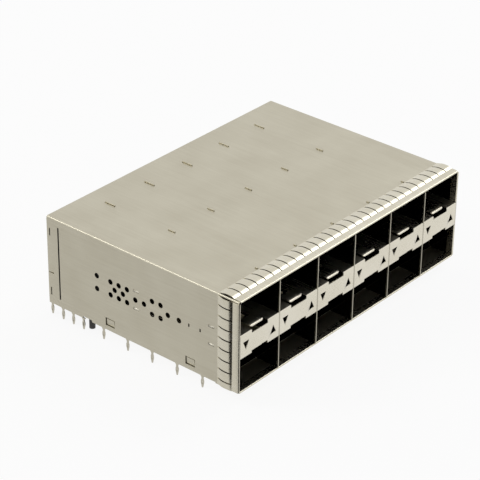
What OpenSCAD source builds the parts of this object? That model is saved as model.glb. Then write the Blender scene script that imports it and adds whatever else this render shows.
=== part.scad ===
// Board-mounted cage for two stacked rows of small pluggable modules.
// The cage is folded sheet metal pressed into a circuit board. Each column holds an
// upper and a lower port, with a latch plate between them and a card-edge
// connector behind them.
// Frame: +X along the row of ports, ports open towards -Y, +Z up from the board.
// The origin is the centre of the footprint on the board's top face.
// Places along Y are given as distances behind the front edge of the cage.

/* [Ports] */
// Columns of stacked ports
columns = 6; // [2:1:8]
// Distance between the middles of neighbouring columns
port_pitch = 14.25; // [14.1:0.05:15]
// Clear height of an upper port
upper_port_h = 8.75; // [8.5:0.05:8.9]
// Clear height of a lower port
lower_port_h = 8.75; // [8.5:0.05:8.9]
// Depth of a port, from its mouth to the connector's nose
port_depth = 39; // [38:0.5:40]

/* [Cage sheet] */
// Height of the cage above the board
cage_h = 24.5; // [24.2:0.1:26]
// Thickness of the cage's sheet metal
sheet_t = 0.25; // [0.2:0.01:0.28]
// Outside radius of the folds between the top and the side walls
bend_r = 0.45; // [0.35:0.05:0.8]
// Gap between sheets that lie side by side
fit_gap = 0.05; // [0.03:0.01:0.08]
// Gap round a tab or a pin in its slot
slot_gap = 0.1; // [0.05:0.01:0.12]

/* [Press-fit pins] */
// Length of a pin below the board's top face
pin_len = 3.25; // [2.8:0.05:3.8]
// Width of a pin where it leaves the sheet
pin_root_w = 1.2; // [1:0.05:1.5]
// Width of a pin's neck
pin_neck_w = 0.55; // [0.5:0.01:0.65]
// Width of a pin over its sprung eye
pin_eye_w = 0.85; // [0.75:0.01:0.95]
// Width of the slit through the eye
pin_slit_w = 0.24; // [0.15:0.01:0.3]
// Width of a pin at its tip
pin_tip_w = 0.3; // [0.2:0.01:0.4]
// Place of the first of the front pins
front_pin_y = 11.3; // [10.5:0.1:12]
// Distance from the last of the front pins to the floor's rear edge
last_pin_gap = 1.3; // [1:0.1:2]
// Number of front pins in a wall
front_pins = 5; // [3:1:5]
// Distance of the first of the rear pins behind the connectors' front face
rear_pin_back = 5.1; // [4.8:0.1:6]
// Distance between the rear pins
rear_pin_pitch = 3.5; // [3.2:0.05:3.6]
// Number of rear pins in a wall
rear_pins = 3; // [2:1:3]

/* [Side walls] */
// Diameter of a vent hole
vent_d = 1.45; // [1:0.05:1.6]
// Height between the rows of vent holes
vent_row = 1.8; // [1.65:0.05:1.9]
// Length of each window that a floor latch snaps into
floor_window_l = 3; // [2.4:0.1:3.4]
// Height of each floor latch window
floor_window_h = 2.2; // [1.8:0.1:2.4]
// Height of the floor latch windows above the board
floor_window_z = 1.2; // [1:0.05:1.5]
// Middle of the front one of them
floor_window_y = 15.1; // [14:0.1:16]
// Distance from the middle of the rear one to the floor's rear edge
floor_window_back = 3.6; // [3:0.1:5]
// Distance from the tall slit, in front of the rear cover's flange, to the rear face
rear_slit_back = 4.7; // [4.6:0.1:4.9]
// Width of that slit
rear_slit_w = 0.45; // [0.3:0.05:0.6]
// Height of the slit's lower end above the board, and of its upper end below the top
rear_slit_end = 2.1; // [1.5:0.1:4]
// Length of the window for the rear cover's latch
rear_window_l = 2.2; // [2:0.1:2.4]
// Height of that window
rear_window_h = 2.5; // [2:0.1:3]
// Distance from the middle of that window to the rear face
rear_window_back = 1.7; // [1.5:0.05:1.8]
// Height of the middle of that window above the board
rear_window_z = 9.95; // [9:0.05:11]
// Length of the notch over the connector's peg
peg_notch_l = 3.1; // [2.6:0.1:3.4]
// Height of the notch over the connector's peg
peg_notch_h = 0.5; // [0.3:0.05:0.8]

/* [Dividers] */
// Height of a divider's tab above the cage's top
tab_stand = 0.3; // [0.1:0.05:0.5]
// Middle of a divider's front top tab
tab_front_y = 7.2; // [6.6:0.05:8]
// Distance from the middle tab to the connectors' noses
tab_mid_back = 5.3; // [4:0.05:8]
// Distance from the rear tab to the cage's rear face
tab_rear_back = 8.55; // [6:0.05:10]
// Lengths of the three top tabs
tab_l = [0.8, 2.1, 3.2]; // [0.6:0.1:3.4]
// Length of a divider's rear tabs
rear_tab_l = 2.4; // [1.5:0.1:3]
// Heights of a divider's rear tabs above the board
rear_tab_z = [5.5, 18.5]; // [5:0.1:19]

/* [Latch plates] */
// Width of the opening round a latch tongue
latch_window_w = 5.75; // [5.4:0.05:6.2]
// Depth of the notches in the front face
latch_notch = 0.9; // [0.7:0.05:1.1]
// Width of a latch tongue
latch_w = 4.7; // [4.4:0.05:4.9]
// Length of a latch tongue
latch_l = 13.5; // [12:0.5:15]
// Height that a tongue stands into its port
latch_rise = 0.5; // [0.35:0.05:0.6]
// Side of the hole that catches a module's boss
latch_hole = 2.7; // [2.2:0.1:3]
// Place of that hole's front side
latch_hole_y = 4.2; // [3.6:0.1:5]
// Radius of the curl at a tongue's free end
lip_r = 0.6; // [0.5:0.05:0.7]
// Radius of the corners of that end, seen from above
lip_corner_r = 0.5; // [0.3:0.05:0.7]
// Place of the curl's foremost point
lip_y = 1; // [0.8:0.05:1.2]
// Width of an indicator window
arrow_w = 2.1; // [1.6:0.1:2.3]
// Height of an indicator window
arrow_h = 2.4; // [1.8:0.05:2.6]
// Drop of the indicator windows below the middle of the latch plate's face
arrow_drop = 0.15; // [0:0.05:0.3]
// Distance of the indicator windows from the middle of the column
arrow_x = 4.9; // [4.6:0.05:5]
// Place of the front ear on a latch plate's left side
left_ear_y = 8.6; // [8:0.1:9]
// Place of the front ear on its right side
right_ear_y = 11.6; // [11:0.1:13]
// Distance from the left side's rear ear to the floor's rear edge
left_ear_back = 12.3; // [12:0.1:13]
// Distance from the right side's rear ear to the floor's rear edge
right_ear_back = 14.9; // [14.6:0.1:16]
// Height of an ear, below the sheet that it is folded from
ear_h = 1.2; // [1.1:0.05:1.4]
// Length of an ear
ear_l = 2.3; // [2:0.1:2.6]
// Length of the tab on an ear
ear_tab_l = 1.6; // [1.2:0.1:1.8]
// Height of the tab on an ear
ear_tab_h = 0.4; // [0.3:0.05:0.5]
// Drop of the middle of that tab below the sheet
ear_tab_drop = 0.55; // [0.45:0.05:0.7]

/* [Shielding springs] */
// Thickness of the spring strip
spring_t = 0.12; // [0.08:0.01:0.15]
// Length of the band that clips over the cage's edge
band_l = 2; // [1.6:0.1:2.4]
// Height that the band bows off the sheet, behind its fold
band_bow = 0.1; // [0:0.01:0.15]
// Length of the strip from the front fold to the finger tips
finger_end = 6.5; // [6:0.1:6.7]
// Height that a finger stands off the wall
finger_rise = 0.55; // [0.4:0.05:0.6]
// Width of the slot between two fingers
finger_slot = 0.35; // [0.25:0.05:0.5]
// Fingers across one column
fingers_per_port = 5; // [3:1:6]
// Pitch of the fingers up a side wall
side_finger_pitch = 2.86; // [2.7:0.01:2.9]
// Height of the top finger on a side wall
side_top_finger = 2.75; // [2.2:0.05:2.8]

/* [Floor] */
// Drop of the floor's front lip below the board's top face
lip_drop = 0.25; // [0.15:0.01:0.3]
// Place where the floor has stepped up to the board's top face
lip_end = 7.2; // [7:0.1:7.8]
// Length of the slope of that step
step_l = 0.5; // [0.4:0.05:0.6]
// Gap between the floor's rear edge and the connectors
floor_gap = 0.4; // [0.2:0.05:0.6]
// Height of the floor's side flanges
flange_h = 4; // [3.8:0.1:4.5]

/* [Rear cover] */
// Outside radius of the rear cover's folds
rear_bend_r = 0.9; // [0.6:0.05:0.9]
// Length of the rear cover's side and top flanges
rear_flange = 4; // [3.8:0.1:4]

/* [Connectors] */
// Length of a connector's body
body_l = 16.85; // [16.5:0.05:18]
// Length of the noses, from a port's rear end to the connector's body
nose_l = 6; // [5.5:0.1:6.5]
// Gap between a connector and the rear cover
body_rear_gap = 0.5; // [0.45:0.05:0.8]
// Height that a connector's body stands above the board
body_z = 0.1; // [0.05:0.05:0.2]
// Gap between a connector and the cage's top
body_top_gap = 0.4; // [0.3:0.05:0.6]
// Thickness of the connector's walls
body_wall = 1.15; // [0.9:0.05:1.2]
// Width of a connector's nose
nose_w = 11.9; // [11.5:0.1:12.2]
// Height of a connector's nose
nose_h = 5.4; // [5:0.1:5.6]
// Width of the slot that takes a module's card edge
card_slot_w = 9.4; // [9.3:0.05:9.8]
// Height of that slot
card_slot_h = 1.3; // [1.2:0.05:1.5]
// Flare of that slot's mouth, on each side
card_flare = 0.45; // [0.3:0.05:0.5]
// Depth of that slot
card_slot_l = 5; // [4.5:0.1:5.2]
// Distance from a card slot's middle to the latch plate
card_offset = 4.3; // [4.2:0.05:4.4]
// Radius of an alignment peg
peg_r = 0.78; // [0.7:0.01:0.8]
// Length of an alignment peg below the board's top face
peg_len = 2.9; // [2:0.05:3]
// Distance of the alignment pegs behind the front face of the connector's body
peg_back = 3.7; // [3.2:0.1:3.8]
// Distance of the pegs from the middle of the column
peg_x = 5.6; // [5.4:0.05:5.7]

/* [Contacts] */
// Contacts in each row of a port
row_contacts = 10; // [8:1:10]
// Distance between neighbouring contacts
contact_pitch = 0.8; // [0.7:0.05:0.8]
// Thickness of a contact, across the row
contact_t = 0.22; // [0.15:0.01:0.25]
// Width of a contact's leg
contact_w = 0.32; // [0.25:0.01:0.4]
// Gap round a contact in its groove or its hole
contact_gap = 0.04; // [0.02:0.01:0.06]
// Length of a contact's tail below the board's top face
tail_len = 2.6; // [2:0.1:2.7]
// Distances of the four rows of tails behind the front face of the connector's body
tail_back = [5.4, 8.4, 11.6, 14.6]; // [5:0.1:15]
// Thickness of the plate that lines up the tails
aligner_t = 1; // [0.8:0.05:1.2]

/* [Hidden] */
$fn = 32;

// How far a cutter runs past the faces that it cuts
past = 1;
// How far a piece of a folded sheet runs into the sheet that carries it
lap = 0.1;
// A pin's neck, its eye, the slit through it and its point, as shares of its length
pin_neck = [0.14, 0.26];
pin_eye = [0.42, 0.62];
pin_slit = [0.34, 0.72];
pin_point = 0.8;
// Overall width, across the outside of the side walls
cage_w = columns * port_pitch + sheet_t;
// Inside face of a side wall, from the middle of the cage
wall_in = cage_w / 2 - sheet_t;
// Front and rear of a connector's body, and the rear face of the cage behind it
body_y = port_depth + nose_l;
body_end = body_y + body_l;
cage_depth = body_end + body_rear_gap + sheet_t;
// Rear edge of the floor and of the latch plates
floor_l = body_y - floor_gap;
// Half the clear width of a port
port_half = (port_pitch - sheet_t) / 2;
// Underside of the cage's top
ceiling_z = cage_h - sheet_t;
// Faces of the latch plate towards the lower and the upper port
plate_low_z = sheet_t + lower_port_h;
plate_high_z = ceiling_z - upper_port_h;
plate_mid_z = (plate_low_z + plate_high_z) / 2;
// A spring folds in a half circle round the sheet's front edge, which starts just behind it
spring_fold_r = sheet_t / 2 + spring_t;
sheet_front = spring_fold_r + fit_gap;
// Rear end of the shell, where the rear cover's fold begins
shell_end = cage_depth - rear_bend_r;
// Middles of the card slots
upper_card_z = plate_high_z + card_offset;
lower_card_z = plate_low_z - card_offset;
// Places of a wall's pins
front_pin_pitch = (floor_l - last_pin_gap - front_pin_y) / (front_pins - 1);
front_pin_ys = [for (i = [0 : front_pins - 1]) front_pin_y + i * front_pin_pitch];
rear_pin_ys = [for (i = [0 : rear_pins - 1]) body_y + rear_pin_back + i * rear_pin_pitch];
// Vent holes, as [distance behind the ports' rear end, row], with row 0 level with the
// middle of the latch plates
vents = [
    [6.1, 1], [6.1, -1], [1.6, 1], [1.6, -1], [-1.1, 1], [-1.1, -1],
    [-3.8, 1], [-3.8, -1], [-11.9, 1], [-11.9, -1], [-14.6, 1], [-14.6, -1],
    [0.25, 0], [-2.45, 0], [-6.5, 0], [-9.3, 0], [-16.9, 0], [-20.4, 0]
];
// Small lances in the side walls, placed in the same way in the vent holes' middle row
lances = [-23.5, -27];
lance_l = 0.4;
lance_h = 0.9;
// Middles of the windows for the floor's latches and the rear cover's latch
floor_window_ys = [floor_window_y, floor_l - floor_window_back];
rear_window_y = cage_depth - rear_window_back;
// Short slots above and below the rear one: distance to the rear face, foot and height
rear_slots = [[1.8, 19.3, 2.1], [1.7, 2.4, 2.2]];
rear_slot_w = 0.35;
// Middles of a divider's top tabs, and of the ears on both sides of a latch plate
tab_y = [tab_front_y, port_depth - tab_mid_back, cage_depth - tab_rear_back];
left_ear_ys = [left_ear_y, floor_l - left_ear_back];
right_ear_ys = [right_ear_y, floor_l - right_ear_back];
// Places of the connectors' pegs and of their four rows of tails, the lowest row first
peg_y = body_y + peg_back;
tail_y = [for (back = tail_back) body_y + back];
// Gap between a latch tab and its window
latch_gap = 0.3;
// Height of an ear's tab, from the latch plate's middle
ear_tab_z = plate_high_z - sheet_t - ear_tab_drop - plate_mid_z;
// A tongue's straight slope: where it ends, and its rise there as a share of the whole
slope_end = 3;
slope_share = 0.93;
// The curl of its lip, from near its top round to its front
lip_from = 75;
lip_to = 165;
// Side line of a spring finger: run behind the band, and rise as a share of the whole
finger_line = [[0.15, 0.38], [0.5, 0.66], [0.95, 0.88], [1.5, 0.98], [2.1, 1], [3, 0.85], [3.9, 0.42]];
// Half width of a latch plate
latch_half = port_half - fit_gap;
// Half width of a connector's body, clear of the rear cover's side flange
body_half = port_half - 2 * fit_gap - sheet_t;
// Top face of a connector's body
body_top = ceiling_z - body_top_gap;
// Cavity behind the connector's front wall, open to the rear and to the board
cavity_y = body_y + body_wall;
cavity_half = body_half - body_wall;
// Solid foot round each alignment peg
boss_wall = 0.3;
boss_half = peg_r + boss_wall;
boss_end = peg_y + boss_half;
boss_h = 4;
// Half of the distance between a port's two rows of contacts, and the play of a beam there
row_half = card_slot_h / 2 + contact_w / 2;
groove_slack = 0.25;
// A contact's beam: its start behind the nose's front, and the place and height of its bump
beam_start = 1;
bump_at = 1.2;
bump_h = 0.2;

function column_x(i) = (i - (columns + 1) / 2) * port_pitch;
function divider_x(i) = column_x(i) + port_pitch / 2;
function unit(v) = v / norm(v);
function left_of(v) = [-v[1], v[0]];
function heading(p, i) = unit(p[i + 1] - p[i]);
// Step from a path's point to the strip's edge, mitred where the path turns
function edge_step(p, i) =
    let (last = len(p) - 1,
         a = left_of(heading(p, max(i - 1, 0))),
         b = left_of(heading(p, min(i, last - 1))),
         n = unit(a + b))
    n / (n * a);
// Outline of a strip of thickness t along the middle line p
function strip(p, t) = concat(
    [for (i = [0 : len(p) - 1]) p[i] + edge_step(p, i) * t / 2],
    [for (i = [len(p) - 1 : -1 : 0]) p[i] - edge_step(p, i) * t / 2]
);
function arc(c, r, from, to, n) =
    [for (k = [0 : n]) c + r * [cos(from + (to - from) * k / n), sin(from + (to - from) * k / n)]];

// Moves a shape whose Y counts from the front into the part's frame
module from_front() { translate([0, -cage_depth / 2, 0]) children(); }
// Gives a profile drawn in the side plane, Y across and Z up, a thickness along +X
module along_x(t) { rotate([90, 0, 90]) linear_extrude(t) children(); }
// Gives a profile drawn in the front plane, X across and Z up, a thickness along +Y
module along_y(t) { translate([0, t, 0]) rotate([90, 0, 0]) linear_extrude(t) children(); }
// A flat rectangle given by its middle and its size
module centred_2d(u, v, w, h) { translate([u - w / 2, v - h / 2]) square([w, h]); }
// A slot through a sheet for the edge of divider i: from low to high along Y and Z
module divider_slot(i, y, z) {
    half = sheet_t / 2 + slot_gap;
    block([divider_x(i) - half, y[0] - slot_gap, z[0] - slot_gap],
          [divider_x(i) + half, y[1] + slot_gap, z[1] + slot_gap]);
}
// A block given by its lowest and highest corners
module block(low, high) { translate(low) cube(high - low); }

// ---------- Press-fit pins ----------
// A pin with a sprung eye, pointing down from v = 0
module pin_2d() {
    half = [
        [pin_root_w / 2, lap], [pin_root_w / 2, 0], [pin_neck_w / 2, -pin_neck[0] * pin_len],
        [pin_neck_w / 2, -pin_neck[1] * pin_len], [pin_eye_w / 2, -pin_eye[0] * pin_len],
        [pin_eye_w / 2, -pin_eye[1] * pin_len], [pin_neck_w / 2, -pin_point * pin_len],
        [pin_tip_w / 2, -pin_len]
    ];
    slit_top = -pin_slit[0] * pin_len;
    slit_foot = -pin_slit[1] * pin_len;
    difference() {
        polygon(concat(half, [for (k = [len(half) - 1 : -1 : 0]) [-half[k][0], half[k][1]]]));
        polygon([
            [0, slit_top], [pin_slit_w / 2, slit_top - pin_slit_w],
            [pin_slit_w / 2, slit_foot + pin_slit_w], [0, slit_foot],
            [-pin_slit_w / 2, slit_foot + pin_slit_w], [-pin_slit_w / 2, slit_top - pin_slit_w]
        ]);
    }
}

// ---------- Cage shell: top and both side walls, one folded sheet ----------
module rounded_top(w, h, r) {
    translate([-w / 2, -past]) square([w, h - r + past]);
    translate([r - w / 2, 0]) square([w - 2 * r, h]);
    for (s = [-1, 1]) translate([s * (w / 2 - r), h - r]) circle(r);
}

module shell_profile() {
    difference() {
        rounded_top(cage_w, cage_h, bend_r);
        rounded_top(cage_w - 2 * sheet_t, ceiling_z, bend_r - sheet_t);
        translate([-cage_w, -2 * past]) square([2 * cage_w, 2 * past]);
    }
}

// Everything punched through the left wall, drawn from outside; the right wall mirrors it
// and has its ear slots where the right ears are
module wall_cuts(ear_ys) {
    for (v = vents) translate([port_depth + v[0], plate_mid_z + v[1] * vent_row]) circle(d = vent_d);
    for (back = lances) centred_2d(port_depth + back, plate_mid_z, lance_l, lance_h);
    for (y = ear_ys) ear_slots_2d(y);
    for (y = floor_window_ys)
        translate([y - floor_window_l / 2, floor_window_z]) square([floor_window_l, floor_window_h]);
    centred_2d(cage_depth - rear_slit_back, cage_h / 2, rear_slit_w, cage_h - 2 * rear_slit_end);
    centred_2d(rear_window_y, rear_window_z, rear_window_l, rear_window_h);
    for (s = rear_slots)
        translate([cage_depth - s[0] - rear_slot_w / 2, s[1]]) square([rear_slot_w, s[2]]);
    centred_2d(peg_y, 0, peg_notch_l, 2 * peg_notch_h);
}

// The two slots, high and low, that an ear's tabs fill
module ear_slots_2d(y) {
    for (s = [-1, 1])
        centred_2d(y, plate_mid_z + s * ear_tab_z, ear_tab_l + 2 * slot_gap, ear_tab_h + 2 * slot_gap);
}

module cage_shell() {
    color("#c4bfad") from_front() {
        difference() {
            translate([0, sheet_front, 0]) along_y(shell_end - sheet_front) shell_profile();
            translate([-cage_w / 2 - past, 0, 0]) along_x(sheet_t + 2 * past) wall_cuts(left_ear_ys);
            translate([wall_in - past, 0, 0]) along_x(sheet_t + 2 * past) wall_cuts(right_ear_ys);
            for (i = [1 : columns - 1], k = [0 : len(tab_y) - 1])
                divider_slot(i, [tab_y[k] - tab_l[k] / 2, tab_y[k] + tab_l[k] / 2], [ceiling_z, cage_h]);
        }
        for (x = [-cage_w / 2, wall_in]) {
            block([x, sheet_front, -lip_drop], [x + sheet_t, lip_end, lap]);
            for (y = concat(front_pin_ys, rear_pin_ys)) translate([x, y, 0]) along_x(sheet_t) pin_2d();
        }
    }
}

// ---------- Rear cover: a tray whose flanges slide inside the shell ----------
module rear_cover_profile(inset) {
    // drawn in plan or in side view: a flat back with a fold at its end
    polygon(strip(concat(
        [[0, cage_depth - sheet_t / 2]],
        arc([inset - rear_bend_r, cage_depth - rear_bend_r], rear_bend_r - sheet_t / 2, 90, 0, 5),
        [[inset - sheet_t / 2, cage_depth - rear_flange]]), sheet_t));
}

module rear_cover() {
    side_in = wall_in - fit_gap;
    top_in = ceiling_z - fit_gap;
    corner = rear_bend_r + fit_gap;
    color("#bdb8a6") from_front() {
        difference() {
            block([corner - side_in, cage_depth - sheet_t, 0],
                  [side_in - corner, cage_depth, top_in - corner]);
            for (i = [1 : columns - 1], z = rear_tab_z)
                divider_slot(i, [cage_depth - sheet_t, cage_depth], [z, z + rear_tab_l]);
        }
        for (s = [0, 1]) mirror([s, 0, 0]) {
            difference() {
                linear_extrude(top_in - corner) rear_cover_profile(side_in);
                block([-past, 0, -past], [side_in - corner - lap, cage_depth + past, cage_h]);
            }
            rear_latch(side_in);
        }
        difference() {
            translate([corner - side_in, 0, 0]) along_x(2 * (side_in - corner))
                mirror([1, -1]) rear_cover_profile(top_in);
            block([-cage_w, 0, -past], [cage_w, cage_depth + past, top_in - corner - lap]);
        }
        for (i = [1 : columns])
            translate([column_x(i), cage_depth - sheet_t, 0]) along_y(sheet_t) pin_2d();
        for (x = [-side_in, side_in - sheet_t])
            translate([x, cage_depth - rear_bend_r - pin_root_w / 2, 0]) along_x(sheet_t) pin_2d();
    }
}

// The tab that snaps out into the shell's rear window
module rear_latch(side_in) {
    low = rear_window_y - rear_window_l / 2 + latch_gap;
    high = rear_window_y + rear_window_l / 2 - 2 * latch_gap;
    h = rear_window_h - 2 * slot_gap;
    translate([0, 0, rear_window_z - h / 2]) linear_extrude(h)
        polygon([[side_in - lap, low], [side_in, low],
                 [side_in + fit_gap + sheet_t / 2, high], [side_in - lap, high]]);
}

// ---------- Bottom plate: floor of the lower ports, with a stepped front lip ----------
module bottom_plate() {
    half = wall_in - fit_gap;
    color("#b9b4a2") from_front() difference() {
        union() {
            translate([-half, 0, 0]) along_x(2 * half) polygon(strip([
                [sheet_front, sheet_t / 2 - lip_drop], [lip_end - step_l, sheet_t / 2 - lip_drop],
                [lip_end, sheet_t / 2], [floor_l, sheet_t / 2]], sheet_t));
            for (s = [0, 1]) mirror([s, 0, 0]) floor_flange(half);
        }
        for (i = [1 : columns - 1], y = front_pin_ys)
            divider_slot(i, [y - pin_root_w / 2, y + pin_root_w / 2], [0, sheet_t]);
    }
}

// A turned-up side flange with the two latches that snap into the side wall
module floor_flange(half) {
    block([half - sheet_t, lip_end + sheet_t, lap], [half, floor_l, flange_h]);
    low = floor_window_z + slot_gap;
    high = floor_window_z + floor_window_h - latch_gap;
    for (y = floor_window_ys)
        translate([0, y - floor_window_l / 2 + latch_gap, 0]) along_y(floor_window_l - 2 * latch_gap)
            polygon([[half - lap, low], [half, low],
                     [half + fit_gap + sheet_t / 2, high], [half - lap, high]]);
}

// ---------- Dividers between the columns ----------
module divider_profile() {
    leg = spring_t + fit_gap;
    // the foot steps up just ahead of the step in the floor
    foot_y = lip_end - step_l - fit_gap;
    // the top and the rear edge keep clear of the rear cover's flange and fold
    flange_y = cage_depth - rear_flange - fit_gap;
    top_in = ceiling_z - 2 * fit_gap - sheet_t;
    rear = cage_depth - sheet_t - fit_gap;
    difference() {
        polygon([
            [0, leg], [foot_y, leg], [foot_y, sheet_t], [body_y, sheet_t], [body_y, 0], [rear, 0],
            [rear, ceiling_z - rear_bend_r - 2 * fit_gap], [shell_end - fit_gap, top_in],
            [flange_y, top_in], [flange_y, ceiling_z], [band_l + fit_gap, ceiling_z],
            [band_l + fit_gap, ceiling_z - leg], [0, ceiling_z - leg]]);
        for (y = concat(left_ear_ys, right_ear_ys)) ear_slots_2d(y);
    }
    for (k = [0 : len(tab_y) - 1])
        translate([tab_y[k] - tab_l[k] / 2, ceiling_z - lap]) square([tab_l[k], sheet_t + lap + tab_stand]);
    for (z = rear_tab_z) translate([rear - lap, z]) square([lap + fit_gap + sheet_t, rear_tab_l]);
}

module divider(i) {
    color("#b3ac97") from_front() translate([divider_x(i) - sheet_t / 2, 0, 0]) {
        along_x(sheet_t) divider_profile();
        // the front pins start at the floor's upper face and pass through its slots
        for (y = front_pin_ys)
            block([0, y - pin_root_w / 2, 0], [sheet_t, y + pin_root_w / 2, sheet_t + lap]);
        for (y = concat(front_pin_ys, rear_pin_ys)) translate([0, y, 0]) along_x(sheet_t) pin_2d();
    }
}

// ---------- Latch plates: a U-folded sheet between the upper and the lower port ----------
module latch_plate_fold() {
    // the front face is flush with the springs' folds
    y = sheet_t / 2;
    r = 0.6 * sheet_t;
    polygon(strip(concat(
        [[floor_l - fit_gap, plate_high_z - sheet_t / 2]],
        arc([y + r, plate_high_z - sheet_t / 2 - r], r, 90, 180, 3),
        arc([y + r, plate_low_z + sheet_t / 2 + r], r, 180, 270, 3),
        [[floor_l - fit_gap, plate_low_z + sheet_t / 2]]), sheet_t));
}

// A tongue: rises from the plate into the port and curls over at its free front end
module latch_tongue() {
    end = latch_l + 2 * lap;
    v = -sheet_t / 2;
    intersection() {
        translate([-latch_w / 2, 0, 0]) along_x(latch_w) polygon(strip(concat(
            [[end, v], [latch_l - 1, v], [slope_end, v + slope_share * latch_rise]],
            arc([lip_y + lip_r, v + latch_rise - lip_r], lip_r, lip_from, lip_to, 6)), sheet_t));
        translate([0, end, -past]) mirror([0, 1, 0]) linear_extrude(2 * past) difference() {
            rounded_top(latch_w, end - lip_y + sheet_t / 2, lip_corner_r);
            centred_2d(0, end - latch_hole_y - latch_hole / 2, latch_hole, latch_hole);
        }
    }
}

// An ear folded from the side edge towards the middle, with a tab that enters the wall
module ear(y) {
    block([latch_half - sheet_t, y - ear_l / 2, plate_high_z - sheet_t - ear_h],
          [latch_half, y + ear_l / 2, plate_high_z - lap]);
    block([latch_half - lap, y - ear_tab_l / 2, plate_mid_z + ear_tab_z - ear_tab_h / 2],
          [port_half + sheet_t, y + ear_tab_l / 2, plate_mid_z + ear_tab_z + ear_tab_h / 2]);
}

// Repeats what is on the upper sheet on the lower one, turned over
module both_sheets() {
    children();
    translate([0, 0, 2 * plate_mid_z]) mirror([0, 0, 1]) children();
}

module latch_plate(i) {
    color("#dcd6c6") from_front() translate([column_x(i), 0, 0]) {
        difference() {
            translate([-latch_half, 0, 0]) along_x(2 * latch_half) latch_plate_fold();
            both_sheets() block([-latch_window_w / 2, 0, plate_high_z - latch_notch],
                                [latch_window_w / 2, latch_l, plate_high_z + past]);
            for (s = [-1, 1])
                translate([s * arrow_x, 0, plate_mid_z - arrow_drop]) along_y(past)
                    polygon([[-arrow_w / 2, -s * arrow_h / 2], [arrow_w / 2, -s * arrow_h / 2],
                             [0, s * arrow_h / 2]]);
        }
        both_sheets() {
            translate([0, 0, plate_high_z]) latch_tongue();
            for (y = right_ear_ys) ear(y);
            mirror([1, 0, 0]) for (y = left_ear_ys) ear(y);
        }
    }
}

// ---------- Shielding springs: a strip clipped over each front edge ----------
// Side view of a strip on a sheet whose outer face is v = 0; u runs back from the front
module spring_fold() {
    edge = spring_t / 2;
    polygon(strip(concat(
        [[band_l, -sheet_t - edge]],
        arc([spring_fold_r, -sheet_t / 2], sheet_t / 2 + edge, 270, 90, 8),
        [[band_l / 2, edge + band_bow], [band_l, edge + band_bow]],
        [for (p = finger_line) [band_l + p[0], p[1] * finger_rise]],
        [[finger_end, edge + fit_gap]]), spring_t));
}

// A spring of the given width, with slots at the given places across it
module spring(w, slots) {
    difference() {
        along_x(w) spring_fold();
        for (x = slots)
            block([x - finger_slot / 2, band_l + lap, -lap / 2],
                  [x + finger_slot / 2, finger_end + past, past]);
    }
}

module level_spring() {
    row_w = columns * port_pitch;
    w = row_w - 2 * bend_r + finger_slot;
    slots = [for (k = [1 : columns * fingers_per_port - 1])
        (w - row_w) / 2 + k * port_pitch / fingers_per_port];
    translate([-w / 2, 0, 0]) spring(w, slots);
}

module spring_top() {
    color("#d0cbba") from_front() translate([0, 0, cage_h]) level_spring();
}

module spring_bottom() {
    color("#b8b29f") from_front() translate([0, 0, -lip_drop]) mirror([0, 0, 1]) level_spring();
}

// Drawn level with its slots, then stood up against the left wall
module upright_spring() {
    slots = [for (z = [cage_h - side_top_finger : -side_finger_pitch : finger_slot]) z];
    leg = fit_gap + spring_t;
    difference() {
        translate([-cage_w / 2, 0, 0]) rotate([0, -90, 0]) spring(cage_h - bend_r, slots);
        // the inner leg stops short of the latch plate
        block([-wall_in - fit_gap, 0, plate_low_z - leg], [leg - wall_in, cage_depth, plate_high_z + leg]);
    }
}

module spring_left() {
    color("#c0bba8") from_front() upright_spring();
}

module spring_right() {
    color("#c0bba8") from_front() mirror([1, 0, 0]) upright_spring();
}

// ---------- Connectors: a moulded body with a nose into each port ----------
// Place of a contact across the column; the two rows of a port are half a step apart
function contact_x(k, row) = (k - (row_contacts - 1) / 2 + row / 4) * contact_pitch;

// A nose and, once it is cut, its card slot with a flared mouth and a groove for each contact
module nose(z) {
    block([-nose_w / 2, port_depth, z - nose_h / 2], [nose_w / 2, body_y + lap, z + nose_h / 2]);
}

module nose_cuts(z) {
    mouth = port_depth - past;
    half = card_slot_h / 2;
    wide = half + card_flare;
    throat = port_depth + card_flare;
    end = port_depth + card_slot_l;
    translate([-card_slot_w / 2, 0, z]) along_x(card_slot_w)
        polygon([
            [mouth, wide], [port_depth, wide], [throat, half], [end, half],
            [end, -half], [throat, -half], [port_depth, -wide], [mouth, -wide]]);
    for (row = [-1, 1], k = [0 : row_contacts - 1])
        translate([contact_x(k, row), throat + card_flare, z + row * row_half])
            block([-contact_t / 2 - contact_gap, 0, -contact_w / 2 - groove_slack],
                  [contact_t / 2 + contact_gap, cavity_y + past - port_depth, contact_w / 2 + groove_slack]);
}

module connector(i) {
    color("#161514") from_front() translate([column_x(i), 0, 0]) {
        difference() {
            union() {
                block([-body_half, body_y, body_z], [body_half, body_end, body_top]);
                nose(upper_card_z);
                nose(lower_card_z);
            }
            difference() {
                block([-cavity_half, cavity_y, body_z - past],
                      [cavity_half, body_end + past, body_top - body_wall]);
                for (s = [-1, 1])
                    translate([s * (peg_x + cavity_half), 0, 0])
                        block([-cavity_half - boss_half, 0, -past],
                              [cavity_half + boss_half, boss_end, boss_h]);
            }
            nose_cuts(upper_card_z);
            nose_cuts(lower_card_z);
        }
        for (s = [-1, 1])
            translate([s * peg_x, peg_y, -peg_len]) cylinder(r = peg_r, h = peg_len + body_z + lap);
    }
}

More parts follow.
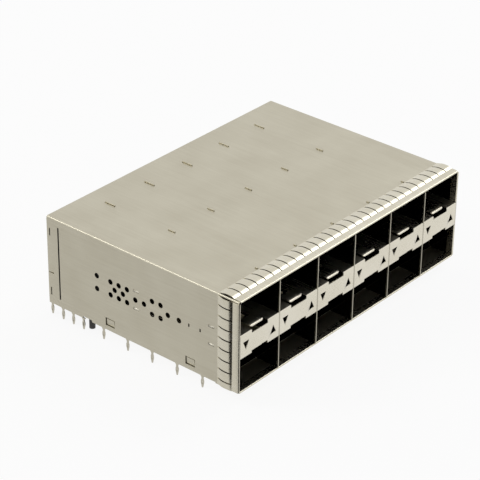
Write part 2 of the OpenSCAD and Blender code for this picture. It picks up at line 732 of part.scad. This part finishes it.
// ---------- Tail aligner: a plate that closes the connector's foot ----------
module tail_aligner(i) {
    half = cavity_half - fit_gap;
    color("#1d1c1a") from_front() translate([column_x(i), 0, 0]) difference() {
        block([-half, boss_end + fit_gap, body_z], [half, body_end, body_z + aligner_t]);
        for (r = [0 : 3], k = [0 : row_contacts - 1])
            translate([contact_x(k, r % 2 * 2 - 1), tail_y[r], 0])
                block([-contact_t / 2 - contact_gap, -contact_w / 2 - contact_gap, -past],
                      [contact_t / 2 + contact_gap, contact_w / 2 + contact_gap, body_z + aligner_t + past]);
    }
}

// ---------- Contacts: a beam in the nose, a bend behind it and a tail into the board ----------
// r is the row, from the lower port's lower row up
module contact_2d(r) {
    row = r % 2 * 2 - 1;
    z = (r < 2 ? lower_card_z : upper_card_z) + row * row_half;
    tip = port_depth + beam_start;
    polygon(strip([
        [tip, z + row * groove_slack / 2], [tip + bump_at, z - row * bump_h], [tip + 2 * bump_at, z],
        [tail_y[r], z], [tail_y[r], -tail_len]], contact_w));
}

module contacts(i, rows) {
    color("#c9a24a") from_front() translate([column_x(i), 0, 0])
        for (r = rows, k = [0 : row_contacts - 1])
            translate([contact_x(k, r % 2 * 2 - 1) - contact_t / 2, 0, 0]) along_x(contact_t) contact_2d(r);
}

cage_shell();
rear_cover();
bottom_plate();
for (i = [1 : columns - 1]) divider(i);
for (i = [1 : columns]) latch_plate(i);
spring_top();
spring_bottom();
spring_left();
spring_right();
for (i = [1 : columns]) connector(i);
for (i = [1 : columns]) tail_aligner(i);
for (i = [1 : columns]) contacts(i, [2, 3]);
for (i = [1 : columns]) contacts(i, [0, 1]);
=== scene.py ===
# A cage for two rows of six pluggable modules, in the order in which it is put together.
# Sizes are written in millimetres, and MM turns them to metres.
import math

import bmesh
import bpy
from mathutils import Matrix, Vector


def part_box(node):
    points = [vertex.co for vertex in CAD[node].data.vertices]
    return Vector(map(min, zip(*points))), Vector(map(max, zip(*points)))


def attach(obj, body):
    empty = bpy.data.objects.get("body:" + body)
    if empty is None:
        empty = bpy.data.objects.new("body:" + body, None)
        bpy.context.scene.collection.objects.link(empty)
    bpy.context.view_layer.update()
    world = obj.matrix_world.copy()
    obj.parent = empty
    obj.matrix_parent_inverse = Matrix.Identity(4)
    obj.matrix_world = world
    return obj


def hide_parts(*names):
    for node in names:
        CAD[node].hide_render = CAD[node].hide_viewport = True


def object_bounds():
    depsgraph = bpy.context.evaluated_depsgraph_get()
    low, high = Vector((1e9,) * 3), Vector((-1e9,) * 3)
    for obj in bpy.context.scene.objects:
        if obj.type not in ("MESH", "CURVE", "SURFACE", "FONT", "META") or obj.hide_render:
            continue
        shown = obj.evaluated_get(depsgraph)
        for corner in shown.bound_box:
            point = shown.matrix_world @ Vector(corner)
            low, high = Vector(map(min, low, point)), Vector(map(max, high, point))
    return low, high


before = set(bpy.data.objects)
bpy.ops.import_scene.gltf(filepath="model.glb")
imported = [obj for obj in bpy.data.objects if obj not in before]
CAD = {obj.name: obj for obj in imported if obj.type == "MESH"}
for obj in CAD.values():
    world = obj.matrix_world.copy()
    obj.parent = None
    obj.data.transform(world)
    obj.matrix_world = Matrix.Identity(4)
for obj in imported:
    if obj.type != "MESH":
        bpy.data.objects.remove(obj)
cad_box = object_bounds()
MM = 0.001

# ---------- Floor plate, and the sheet metal that the whole cage is made of ----------
# The floor of the lower ports is stamped from rolled nickel silver, 0.25 mm thick.
# The rolls leave it satin outside, with a fine grain along the cage's depth, and the faces
# that line the ports are smoother, so they mirror the dark within, and are painted dark too, as
# painted shade.
SHEET = 0.25
NICKEL_SILVER = "#C1BCAB"
NICKEL_SILVER_DARK = "#B5AF9D"
# painted shade: faces within the ports are painted this dark colour, for the shade deep in the
# ports
PORT_PAINTED_SHADE = "#35332E"
TIN_PLATE = "#BDB8A9"
LINING_ROUGHNESS = 0.06
PIN_START = 0.3  # the tin on the pins starts just below the board's top face
GRAIN_ACROSS = 0.45  # the real grain is about 0.1 mm across: drawn coarser, so that it shows
GRAIN_ALONG = 14.0
GRAIN_DEPTH = 0.004
GRAIN_STRENGTH = 0.12
TONE_PATCH = 9.0
TONE_RANGE = {"From Min": 0.6, "From Max": 1.4}  # of the grain and the patches, added up
SMOOTHER, ROUGHER = 0.04, 0.05  # how far the roughness goes below and above its own value


def linear(colour):
    """An sRGB hex colour as linear red, green, blue and alpha."""
    parts = [int(colour[i:i + 2], 16) / 255 for i in (1, 3, 5)]
    return [p / 12.92 if p <= 0.04045 else ((p + 0.055) / 1.055) ** 2.4 for p in parts] + [1]


def add(tree, kind, settings=None, links=None, values=None):
    """Adds a node: its settings by name, what feeds its sockets, and its sockets' own values."""
    made = tree.nodes.new(kind)
    for name, value in (settings or {}).items():
        setattr(made, name, value)
    for socket, value in (values or {}).items():
        made.inputs[socket].default_value = value
    for socket, source in (links or {}).items():
        tree.links.new(source, made.inputs[socket])
    return made.outputs


def new_finish(name):
    """An empty material, and the tree to build it in."""
    made = bpy.data.materials.new(name)
    made.use_nodes = True
    made.node_tree.nodes.clear()
    return made, made.node_tree


def math_node(tree, operation, first, second=None):
    """First and second are sockets, or plain numbers."""
    links = {k: s for k, s in ((0, first), (1, second)) if isinstance(s, bpy.types.NodeSocket)}
    values = {k: s for k, s in ((0, first), (1, second)) if isinstance(s, (int, float))}
    return add(tree, "ShaderNodeMath", {"operation": operation}, links, values)[0]


def mixed_colour(tree, factor, first, second):
    """Colours are sockets, or hex colours."""
    links, values = {"Factor": factor}, {}
    for socket, colour in ((6, first), (7, second)):
        if isinstance(colour, str):
            values[socket] = linear(colour)
        else:
            links[socket] = colour
    return add(tree, "ShaderNodeMix", {"data_type": "RGBA"}, links, values)[2]


def rolled_sheet(name, bright, dark, roughness, port_shade_faces=(), pins=False):
    """Rolled sheet metal. Port faces, given as (axis, edge, 1 above or -1 below), get painted shade
    and a smoother roughness.
    """
    made, tree = new_finish(name)
    at = add(tree, "ShaderNodeTexCoord")["Object"]
    xyz = add(tree, "ShaderNodeSeparateXYZ", links={0: at})
    across, along = 1 / (GRAIN_ACROSS * MM), 1 / (GRAIN_ALONG * MM)
    stretched = add(tree, "ShaderNodeMapping", links={0: at},
                    values={"Scale": (across, along, across)})[0]
    grain = add(tree, "ShaderNodeTexNoise", links={"Vector": stretched},
                values={"Scale": 1.0, "Detail": 3.0, "Roughness": 0.6})["Fac"]
    patch = add(tree, "ShaderNodeTexNoise", links={"Vector": at},
                values={"Scale": 1 / (TONE_PATCH * MM), "Detail": 2.0})["Fac"]
    both = math_node(tree, "ADD", grain, patch)
    tone = add(tree, "ShaderNodeMapRange", links={"Value": both}, values=TONE_RANGE)[0]
    colour = mixed_colour(tree, tone, dark, bright)
    rough = add(tree, "ShaderNodeMapRange", links={"Value": both},
                values={**TONE_RANGE, "To Min": roughness - SMOOTHER,
                        "To Max": roughness + ROUGHER})[0]
    port_shade_mask = None
    for axis, edge, side in port_shade_faces:
        value = math_node(tree, "MULTIPLY", xyz["XYZ".index(axis)], side)
        mask = math_node(tree, "GREATER_THAN", value, side * edge * MM)
        port_shade_mask = mask if port_shade_mask is None else math_node(tree, "MULTIPLY", port_shade_mask, mask)
    # painted shade: faces within the ports take the dark port colour, and a smoother roughness
    if port_shade_mask is not None:
        colour = mixed_colour(tree, port_shade_mask, colour, PORT_PAINTED_SHADE)
        rough = add(tree, "ShaderNodeMix", {"data_type": "FLOAT"}, {0: port_shade_mask, 2: rough},
                    {3: LINING_ROUGHNESS})[0]
    if pins:
        tinned = math_node(tree, "LESS_THAN", xyz[2], -PIN_START * MM)
        colour = mixed_colour(tree, tinned, colour, TIN_PLATE)
    bump = add(tree, "ShaderNodeBump", links={"Height": grain},
               values={"Strength": GRAIN_STRENGTH, "Distance": GRAIN_DEPTH * MM})[0]
    metal = add(tree, "ShaderNodeBsdfPrincipled",
                links={"Base Color": colour, "Roughness": rough, "Normal": bump},
                values={"Metallic": 1.0})[0]
    add(tree, "ShaderNodeOutputMaterial", links={0: metal})
    return made


def dress(finish, *names):
    """Gives pieces their finish, on their objects' own material slots."""
    for name in names:
        for material_slot in CAD[name].material_slots:
            material_slot.link = "OBJECT"
            material_slot.material = finish


shell_low, shell_high = (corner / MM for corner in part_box("cage_shell"))
WALL_MIDDLE = shell_high.x - SHEET / 2
FLANGE_STEP = 1.2 * SHEET  # a flange lies inside the wall, with a little air between them
FLANGE_MIDDLE = WALL_MIDDLE - FLANGE_STEP
# Its faces within the ports are painted dark, as painted shade.
dress(rolled_sheet("nickel silver, floor", NICKEL_SILVER, NICKEL_SILVER_DARK, roughness=0.34,
                   port_shade_faces=[("Z", SHEET / 2, 1), ("X", -FLANGE_MIDDLE, 1), ("X", FLANGE_MIDDLE, -1)]),
      "bottom_plate")

# ---------- Cage shell ----------
# One sheet folded into the top and both side walls, with the vents, windows and slots punched
# before it is folded, and the press-fit pins left standing on its lower edges, which are tinned.
TOP = shell_high.z
# Its faces within the ports are painted dark, as painted shade.
dress(rolled_sheet("nickel silver, shell", NICKEL_SILVER, NICKEL_SILVER_DARK, roughness=0.36,
                   port_shade_faces=[("X", WALL_MIDDLE, -1), ("X", -WALL_MIDDLE, 1),
                          ("Z", TOP - SHEET / 2, -1)],
                   pins=True), "cage_shell")

# ---------- Dividers ----------
# Plain sheets between the columns. Both faces line ports, and only the front edges, the tabs
# that stand in the slots of the top and the tinned pins are seen from outside.
# Their faces within the ports are painted dark, as painted shade.
dress(rolled_sheet("nickel silver, dividers", NICKEL_SILVER, NICKEL_SILVER_DARK, roughness=0.3,
                   port_shade_faces=[("Y", shell_low.y + SHEET / 2, 1), ("Z", TOP - SHEET, -1), ("Z", 0.0, 1)],
                   pins=True),
      *[n for n in CAD if n.startswith("divider_")])

# ---------- Latch plates ----------
# Each is a sheet folded to a U between an upper and a lower port. The tongues cut in its two
# sides curl over at the front, and catch the boss of a module in their square holes.
# painted light: the latch plates are the same nickel silver as the shell, painted lighter for the
# light on their fronts
LATCH_PAINTED_LIGHT = "#E2DDCE"
LATCH_PAINTED_LIGHT_DARK = "#D3CDBC"
PITCH = 14.25
PLATE_LOW = 9.0
PLATE_HIGH = 15.5
TONGUE_WIDTH = 4.7
TONGUE_CUT = 12.6
TONGUE_FRONT = 0.875
TONGUE_CORNER = 0.5
HOLE_HALF = 1.35
# Middle line of a tongue, back to front, as (distance behind the mouth, height above the face
# that it rises from). The hole lies between the third point and the fourth.
TONGUE_LINE = ((TONGUE_CUT, -SHEET / 2), (TONGUE_CUT - 0.1, -SHEET / 2), (6.9, 0.148), (4.2, 0.28),
               (2.2, 0.366), (2.0, 0.37), (1.8, 0.362), (1.6, 0.325), (1.4, 0.27), (1.2, 0.205),
               (1.08, 0.145), (1.02, 0.08), (1.0, 0.0), (1.0, -0.08))
HOLE_ROW = 2
BLOCK_HALF = 2.5  # the block that takes out the plain tongue: its half width, where it starts
BLOCK_FRONT = 0.3  # behind the mouth, and how far it goes above and below the plate's face
BLOCK_REACH = 0.6
CUT_EDGE = math.radians(35)  # a fold sharper than this is a cut edge, and stays sharp
# the lighter latch colour is painted light
latch_painted_light_sheet = rolled_sheet("nickel silver, latch plates", LATCH_PAINTED_LIGHT, LATCH_PAINTED_LIGHT_DARK,
                            roughness=0.28)
latch_plates = sorted(n for n in CAD if n.startswith("latch_plate_"))
mouth = cad_box[0].y / MM


def sides_of(line, thickness):
    """The two sides of a sheet whose middle follows a line."""
    left, right = [], []
    for k, point in enumerate(line):
        along = (line[min(k + 1, len(line) - 1)] - line[max(k - 1, 0)]).normalized()
        off = Vector((-along.y, along.x)) * thickness / 2
        left.append(point + off)
        right.append(point - off)
    return left, right


def plain_mesh(piece):
    """Turns a piece's geometry nodes into a plain mesh."""
    graph = bpy.context.evaluated_depsgraph_get()
    made = bpy.data.meshes.new_from_object(piece.evaluated_get(graph))
    piece.modifiers.clear()
    piece.data = made


def cut_away(piece, low, high):
    """Cuts the block between two corners out of a piece."""
    mesh = bmesh.new()
    bmesh.ops.create_cube(mesh, size=1.0)
    size = Matrix.Diagonal(high - low).to_4x4()
    place = Matrix.Translation((low + high) / 2 * MM) @ Matrix.Scale(MM, 4)
    bmesh.ops.transform(mesh, verts=mesh.verts, matrix=place @ size)
    cutter = bpy.data.objects.new("cutter", bpy.data.meshes.new("cutter"))
    mesh.to_mesh(cutter.data)
    mesh.free()
    bpy.context.scene.collection.objects.link(cutter)
    cut = piece.modifiers.new("cut", "BOOLEAN")
    cut.operation = "DIFFERENCE"
    cut.solver = "EXACT"
    cut.object = cutter
    plain_mesh(piece)
    bpy.data.objects.remove(cutter)


def tongue(mesh, middle, face, up):
    """Adds a latch tongue, as a strip in three lanes with a square hole in the middle one."""
    lower, upper = sides_of([Vector(point) for point in TONGUE_LINE], SHEET)
    rows = []
    for pair in zip(upper, lower):
        row = []
        for point in pair:
            corner = max(TONGUE_CORNER - (point.x - TONGUE_FRONT), 0)
            round_off = math.sqrt(max(TONGUE_CORNER ** 2 - corner ** 2, 0))
            half = TONGUE_WIDTH / 2 - TONGUE_CORNER + round_off
            place = Vector((middle, mouth + point.x, face + up * point.y))
            row.append([mesh.verts.new((place + Vector((x, 0, 0))) * MM)
                        for x in (-half, -HOLE_HALF, HOLE_HALF, half)])
        rows.append(row)
    made = []
    for k, (a, b) in enumerate(zip(rows, rows[1:])):
        for side in (0, 1):
            made += [mesh.faces.new((a[side][c], a[side][c + 1], b[side][c + 1], b[side][c]))
                     for c in range(3) if (k, c) != (HOLE_ROW, 1)]
        walls = (0, 1, 2, 3) if k == HOLE_ROW else (0, 3)
        made += [mesh.faces.new((a[0][c], b[0][c], b[1][c], a[1][c])) for c in walls]
    for k, lanes in ((0, range(3)), (-1, range(3)), (HOLE_ROW, (1,)), (HOLE_ROW + 1, (1,))):
        top, foot = rows[k]
        made += [mesh.faces.new((top[c], top[c + 1], foot[c + 1], foot[c])) for c in lanes]
    bmesh.ops.recalc_face_normals(mesh, faces=made)
    for part in made:
        part.smooth = True


for number, node in enumerate(latch_plates):
    column = (number - (len(latch_plates) - 1) / 2) * PITCH
    piece = bpy.data.objects.new(node + "_sheet", CAD[node].data.copy())
    piece.data.transform(CAD[node].matrix_world)
    piece.data.materials.clear()
    piece.data.materials.append(latch_painted_light_sheet)
    bpy.context.scene.collection.objects.link(piece)
    for face in (PLATE_HIGH, PLATE_LOW):
        cut_away(piece, Vector((column - BLOCK_HALF, mouth + BLOCK_FRONT, face - BLOCK_REACH)),
                 Vector((column + BLOCK_HALF, mouth + TONGUE_CUT, face + BLOCK_REACH)))
    mesh = bmesh.new()
    mesh.from_mesh(piece.data)
    tongue(mesh, column, PLATE_HIGH, 1)
    tongue(mesh, column, PLATE_LOW, -1)
    mesh.to_mesh(piece.data)
    mesh.free()
    piece.data.set_sharp_from_angle(angle=CUT_EDGE)
    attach(piece, "root")
    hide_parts(node)

# ---------- Rear cover ----------
# A shallow tray that closes the back. Its flanges slide inside the shell, where their latches
# snap into two windows, and the dividers' rear tabs stand through its slots.
# Its faces within the cage are painted dark, as painted shade.
dress(rolled_sheet("nickel silver, rear cover", NICKEL_SILVER, NICKEL_SILVER_DARK, roughness=0.36,
                   port_shade_faces=[("Y", shell_high.y, -1), ("X", -FLANGE_MIDDLE, 1),
                          ("X", FLANGE_MIDDLE, -1)],
                   pins=True), "rear_cover")

# ---------- Shielding springs ----------
# Thin hard strips that clip over each edge of the mouth, spot-welded, with a row of arched
# fingers that press on the rim of the panel's opening. The temper leaves them bright.
SPRING_BRIGHT = "#D6D1C1"
SPRING_DARK = "#C6C0AD"
STRIP = 0.12
LIP = -0.25  # lower face of the floor's front lip, which the bottom strip clips round
BAND = 2.0
BAND_BOW = 0.1
FOLD_STEPS, BAND_STEPS, ARCH_STEPS = 10, 4, 3
FINGER_RISE = 0.55
FINGER_END = 6.5
FINGER_TIP_GAP = 0.05
FINGER_SLOT = 0.35
# The arch of a finger, as (distance behind the band, share of the finger's rise).
FINGER_LINE = ((0.15, 0.38), (0.5, 0.66), (0.95, 0.88), (1.5, 0.98), (2.1, 1.0), (3.0, 0.85),
               (3.9, 0.42))
SEAM = 0.001
LEVEL_PITCH = PITCH / 5
SIDE_PITCH = 2.86
SIDE_FINGERS = 9
SIDE_FIRST_SLOT = 21.75
LATCH_GAP = 0.17  # above and below a latch plate, where the side strips' inner legs stop
spring_finish = rolled_sheet("nickel silver, spring strip", SPRING_BRIGHT, SPRING_DARK,
                             roughness=0.26)


def through(points, steps):
    """A smooth line through points, with steps pieces between each two of them."""
    line = [points[0]]
    for k in range(len(points) - 1):
        before, a = points[max(k - 1, 0)], points[k]
        b, after = points[k + 1], points[min(k + 2, len(points) - 1)]
        for step in range(1, steps + 1):
            t = step / steps
            line.append(0.5 * (2 * a + (b - before) * t
                               + (2 * before - 5 * a + 4 * b - after) * t ** 2
                               + (3 * a - before - 3 * b + after) * t ** 3))
    return line


def finger_mesh(pitch):
    """One finger with its stretch of the band, open where the next one joins it."""
    edge = STRIP / 2
    centre, radius = Vector((SHEET / 2 + STRIP, -SHEET / 2)), SHEET / 2 + edge
    turns = [math.radians(270 - 180 * k / FOLD_STEPS) for k in range(FOLD_STEPS + 1)]
    fold = [centre + radius * Vector((math.cos(a), math.sin(a))) for a in turns]
    bow = edge + BAND_BOW
    band = through([fold[-1], Vector((BAND / 2, bow)), Vector((BAND, bow))], BAND_STEPS)
    arch = [Vector((BAND + run, share * FINGER_RISE)) for run, share in FINGER_LINE]
    tip = Vector((FINGER_END, edge + FINGER_TIP_GAP))
    finger = through([band[-1], *arch, tip], ARCH_STEPS)
    line = [Vector((BAND, -SHEET - edge)), *fold, *band[1:], *finger[1:]]
    root = len(fold) + len(band) - 1
    outer, inner = sides_of(line, STRIP)
    wide, narrow = pitch / 2, (pitch - FINGER_SLOT) / 2
    mesh = bmesh.new()
    rows = []
    for k in range(len(line)):
        places = (-wide, -narrow, narrow, wide) if k <= root else (-narrow, narrow)
        rows.append([[mesh.verts.new(Vector((x, side[k].x, side[k].y)) * MM) for x in places]
                     for side in (outer, inner)])
    for k in range(len(line) - 1):
        here, there = rows[k], rows[k + 1]
        if k == root:
            here = [side[1:3] for side in here]
        for a, b, flip in ((here[0], there[0], False), (here[1], there[1], True)):
            for c in range(len(b) - 1):
                corners = [a[c], a[c + 1], b[c + 1], b[c]]
                mesh.faces.new(corners[::-1] if flip else corners)
        if k >= root:
            mesh.faces.new((here[0][0], there[0][0], there[1][0], here[1][0]))
            mesh.faces.new((there[0][1], here[0][1], here[1][1], there[1][1]))
    end = rows[-1]
    mesh.faces.new((end[0][0], end[0][1], end[1][1], end[1][0]))
    start = rows[0]
    for c in range(3):
        mesh.faces.new((start[0][c + 1], start[0][c], start[1][c], start[1][c + 1]))
    shoulder = rows[root]
    for c in (0, 2):
        mesh.faces.new((shoulder[0][c], shoulder[0][c + 1], shoulder[1][c + 1], shoulder[1][c]))
    made = bpy.data.meshes.new("finger")
    mesh.to_mesh(made)
    mesh.free()
    return made


def finger_row_tree():
    """Geometry nodes that set a finger out along a row, and join its stretches of band."""
    tree = bpy.data.node_groups.new("row of spring fingers", "GeometryNodeTree")
    for socket, kind in (("Finger", "NodeSocketGeometry"), ("Fingers", "NodeSocketInt"),
                         ("Pitch", "NodeSocketFloat"), ("Finish", "NodeSocketMaterial")):
        tree.interface.new_socket(socket, in_out="INPUT", socket_type=kind)
    tree.interface.new_socket("Strip", in_out="OUTPUT", socket_type="NodeSocketGeometry")
    given = add(tree, "NodeGroupInput")
    step = add(tree, "ShaderNodeCombineXYZ", links={"X": given["Pitch"]})[0]
    places = add(tree, "GeometryNodeMeshLine", {"mode": "OFFSET"},
                 {"Count": given["Fingers"], "Offset": step})[0]
    row = add(tree, "GeometryNodeInstanceOnPoints",
              links={"Points": places, "Instance": given["Finger"]})[0]
    real = add(tree, "GeometryNodeRealizeInstances", links={0: row})[0]
    joined = add(tree, "GeometryNodeMergeByDistance", links={0: real},
                 values={"Distance": SEAM * MM})[0]
    dressed = add(tree, "GeometryNodeSetMaterial",
                  links={"Geometry": joined, "Material": given["Finish"]})[0]
    add(tree, "NodeGroupOutput", links={0: dressed})
    return tree


def spring_strip(node, pitch, fingers, first, ends, place, window=None):
    """A strip along X from its first finger's middle, cut at its ends and then put in place."""
    piece = bpy.data.objects.new(node + "_strip", finger_mesh(pitch))
    bpy.context.scene.collection.objects.link(piece)
    row = piece.modifiers.new("row", "NODES")
    row.node_group = finger_row
    sockets = {s.name: s.identifier for s in finger_row.interface.items_tree if s.in_out == "INPUT"}
    row[sockets["Fingers"]] = fingers
    row[sockets["Pitch"]] = pitch * MM
    row[sockets["Finish"]] = spring_finish
    plain_mesh(piece)
    mesh = bmesh.new()
    mesh.from_mesh(piece.data)
    bmesh.ops.translate(mesh, verts=mesh.verts, vec=(first * MM, 0, 0))
    for end, out in zip(ends, (-1, 1)):
        everything = mesh.verts[:] + mesh.edges[:] + mesh.faces[:]
        bmesh.ops.bisect_plane(mesh, geom=everything, dist=1e-7, plane_co=(end * MM, 0, 0),
                               plane_no=(out, 0, 0), clear_outer=True)
        bmesh.ops.holes_fill(mesh, edges=[e for e in mesh.edges if e.is_boundary])
    bmesh.ops.transform(mesh, verts=mesh.verts, matrix=place)
    mesh.to_mesh(piece.data)
    mesh.free()
    if window:
        cut_away(piece, *window)
    piece.data.polygons.foreach_set("use_smooth", [True] * len(piece.data.polygons))
    piece.data.set_sharp_from_angle(angle=CUT_EDGE)
    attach(piece, "root")
    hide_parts(node)


finger_row = finger_row_tree()
wall_out = shell_high.x
row_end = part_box("spring_top")[1].x / MM
count = round(2 * (wall_out - SHEET / 2) / LEVEL_PITCH)
row_start = -(count - 1) / 2 * LEVEL_PITCH
to_mouth = Matrix.Translation(Vector((0, mouth, 0)) * MM)
for node, roll, level in (("spring_top", 0, TOP), ("spring_bottom", 180, LIP)):
    upright = Matrix.Rotation(math.radians(roll), 4, "Y")
    spring_strip(node, LEVEL_PITCH, count, row_start, (-row_end, row_end),
                 to_mouth @ Matrix.Translation((0, 0, level * MM)) @ upright)
side_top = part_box("spring_left")[1].z / MM
top_finger = SIDE_FIRST_SLOT + SIDE_PITCH / 2
low_finger = top_finger - (SIDE_FINGERS - 1) * SIDE_PITCH
for node, side, first, ends in (("spring_left", -1, low_finger, (0, side_top)),
                                ("spring_right", 1, -top_finger, (-side_top, 0))):
    upright = Matrix.Rotation(math.radians(90 * side), 4, "Y")
    # the inner leg stops short of the latch plate
    across = sorted(side * (wall_out - SHEET + d) for d in (-STRIP - 0.1, 0.05))
    window = (Vector((across[0], mouth - 1, PLATE_LOW - LATCH_GAP)),
              Vector((across[1], mouth + BAND + 1, PLATE_HIGH + LATCH_GAP)))
    spring_strip(node, SIDE_PITCH, SIDE_FINGERS, first, ends,
                 to_mouth @ Matrix.Translation((side * wall_out * MM, 0, 0)) @ upright, window)

# ---------- Connectors and tail aligners ----------
# Black glass-filled liquid-crystal polymer, injection moulded. It is matt, with faint flow
# marks, and it closes the far end of each port.
PLASTIC_BLACK = "#141210"
PLASTIC_GREY = "#201D1A"
FLOW_MARK = 3.0
FIBRE = 0.3
FIBRE_DEPTH = 0.01
plastic, tree = new_finish("moulded glass-filled polymer, black")
at = add(tree, "ShaderNodeTexCoord")["Object"]
flow = add(tree, "ShaderNodeTexNoise", links={"Vector": at},
           values={"Scale": 1 / (FLOW_MARK * MM), "Detail": 5.0})["Fac"]
fibre = add(tree, "ShaderNodeTexNoise", links={"Vector": at},
            values={"Scale": 1 / (FIBRE * MM), "Detail": 2.0})["Fac"]
rough = add(tree, "ShaderNodeMapRange", links={"Value": flow},
            values={"To Min": 0.45, "To Max": 0.65})[0]
bump = add(tree, "ShaderNodeBump", links={"Height": fibre},
           values={"Strength": 0.2, "Distance": FIBRE_DEPTH * MM})[0]
colour = mixed_colour(tree, flow, PLASTIC_BLACK, PLASTIC_GREY)
body = add(tree, "ShaderNodeBsdfPrincipled",
           links={"Base Color": colour, "Roughness": rough, "Normal": bump},
           values={"IOR": 1.55})[0]
add(tree, "ShaderNodeOutputMaterial", links={0: body})
dress(plastic, *[n for n in CAD if n.startswith(("connector_", "tail_aligner_"))])

# ---------- Contacts ----------
# Stamped phosphor bronze, plated all over with nickel, with gold where a module's card edge
# rubs and matt tin on the tails that go into the board.
GOLD = "#D9B063"
GOLD_WORN = "#C79C4E"
WEAR_PATCH = 0.8
TIN_TOP = 1.5  # the tin goes this far up from the board's top face
contact_finish, tree = new_finish("phosphor bronze, gold and tin plated")
at = add(tree, "ShaderNodeTexCoord")["Object"]
xyz = add(tree, "ShaderNodeSeparateXYZ", links={0: at})
worn = add(tree, "ShaderNodeTexNoise", links={"Vector": at},
           values={"Scale": 1 / (WEAR_PATCH * MM), "Detail": 3.0})["Fac"]
tails = math_node(tree, "LESS_THAN", xyz[2], TIN_TOP * MM)
colour = mixed_colour(tree, tails, mixed_colour(tree, worn, GOLD_WORN, GOLD), TIN_PLATE)
rough = add(tree, "ShaderNodeMapRange", links={"Value": worn},
            values={"To Min": 0.22, "To Max": 0.36})[0]
metal = add(tree, "ShaderNodeBsdfPrincipled", links={"Base Color": colour, "Roughness": rough},
            values={"Metallic": 1.0})[0]
add(tree, "ShaderNodeOutputMaterial", links={0: metal})
dress(contact_finish, *[n for n in CAD if "_contacts_" in n])

# ---------- Floor, light and camera ----------
# The cage stands on its pins on a plain white floor. The camera looks down on its front left
# corner, and soft boxes stand above it and to the right of the ports.
FLOOR_SIDE = 3000.0
PAPER = "#F4F4F4"
SHADOW_SHARE = 0.1
SKY_FILL = 0.55  # the sky's strength where it lights the cage and isn't seen itself
AIM = Vector((-4.1, 1.5, 12.0))
CAMERA_DISTANCE = 512.4
CAMERA_AZIMUTH = 50.0
CAMERA_ELEVATION = 29.7
CAMERA_ROLL = 0.74
CAMERA_LENS = 153.5
CAMERA_SENSOR = 36.0
CAMERA_REACH = 10.0  # metres


def seen_itself(tree):
    """1 on rays from the camera and through reflections and glass, and 0 on rays that light."""
    path = add(tree, "ShaderNodeLightPath")
    camera_or_glossy = math_node(tree, "MAXIMUM", path["Is Camera Ray"], path["Is Glossy Ray"])
    return math_node(tree, "MAXIMUM", camera_or_glossy, path["Is Transmission Ray"])


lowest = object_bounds()[0].z
bpy.ops.mesh.primitive_plane_add(size=FLOOR_SIDE * MM, location=(0, 0, lowest))
floor = bpy.context.object
floor.name = "studio_floor"
finish, tree = new_finish("studio floor, white paper")
share = math_node(tree, "MULTIPLY", seen_itself(tree), 1 - SHADOW_SHARE)
paper = add(tree, "ShaderNodeBsdfDiffuse", values={"Color": linear(PAPER)})[0]
glow = add(tree, "ShaderNodeEmission", values={"Color": (1, 1, 1, 1), "Strength": 1.0})[0]
lit = add(tree, "ShaderNodeMixShader", links={0: share, 1: paper, 2: glow})[0]
back = add(tree, "ShaderNodeNewGeometry")["Backfacing"]
clear = add(tree, "ShaderNodeBsdfTransparent")[0]
open_below = add(tree, "ShaderNodeMixShader", links={0: back, 1: lit, 2: clear})[0]
add(tree, "ShaderNodeOutputMaterial", links={0: open_below})
floor.data.materials.append(finish)

world = bpy.data.worlds.new("studio")
bpy.context.scene.world = world
world.use_nodes = True
tree = world.node_tree
tree.nodes.clear()
strength = add(tree, "ShaderNodeMapRange", links={"Value": seen_itself(tree)},
               values={"To Min": SKY_FILL, "To Max": 1.0})[0]
sky = add(tree, "ShaderNodeBackground", links={"Strength": strength},
          values={"Color": (1, 1, 1, 1)})[0]
add(tree, "ShaderNodeOutputWorld", links={0: sky})


def soft_box(name, place, side, power):
    """A square area lamp that faces the cage. Its place is in millimetres."""
    data = bpy.data.lights.new(name, "AREA")
    data.size = side * MM
    data.energy = power
    lamp = bpy.data.objects.new(name, data)
    lamp.location = Vector(place) * MM
    lamp.rotation_euler = (AIM * MM - lamp.location).to_track_quat("-Z", "Y").to_euler()
    bpy.context.scene.collection.objects.link(lamp)


soft_box("box_right", (620, -60, 690), 380, 1.5)
soft_box("box_behind", (-430, 490, 590), 260, 1.3)

# Two cards lie on the floor to the left, and only reflections show them. The black one darkens
# the front slopes of the spring fingers, and the grey one tones the left wall down.
CARD_CORNER = (-43.4, -31.5)
CARDS = (("black_card", 0.01, (CARD_CORNER, (-150, 5), (-150, -150), (CARD_CORNER[0], -150))),
         ("grey_card", 0.86, (CARD_CORNER, (CARD_CORNER[0], 900), (-900, 900), (-900, 262))))
CARD_LIFT = 0.1
for name, level, corners in CARDS:
    card = bpy.data.objects.new(name, bpy.data.meshes.new(name))
    card.data.from_pydata([(x * MM, y * MM, lowest + CARD_LIFT * MM) for x, y in corners],
                          [], [range(4)])
    bpy.context.scene.collection.objects.link(card)
    finish, tree = new_finish(name)
    shade = add(tree, "ShaderNodeEmission", values={"Color": (level, level, level, 1)})[0]
    add(tree, "ShaderNodeOutputMaterial", links={0: shade})
    card.data.materials.append(finish)
    card.visible_camera = card.visible_diffuse = False
    card.visible_shadow = card.visible_transmission = False

azimuth, elevation = math.radians(CAMERA_AZIMUTH), math.radians(CAMERA_ELEVATION)
look = Vector((math.sin(azimuth) * math.cos(elevation),
               math.cos(azimuth) * math.cos(elevation), -math.sin(elevation)))
camera = bpy.data.objects.new("camera", bpy.data.cameras.new("camera"))
camera.data.lens = CAMERA_LENS
camera.data.sensor_width = CAMERA_SENSOR
camera.data.clip_end = CAMERA_REACH
turn = Matrix.Rotation(-azimuth, 4, "Z") @ Matrix.Rotation(math.pi / 2 - elevation, 4, "X")
camera.matrix_world = (Matrix.Translation((AIM - look * CAMERA_DISTANCE) * MM) @ turn
                       @ Matrix.Rotation(math.radians(CAMERA_ROLL), 4, "Z"))
bpy.context.scene.collection.objects.link(camera)
bpy.context.scene.camera = camera
bpy.context.scene.view_settings.view_transform = "Standard"
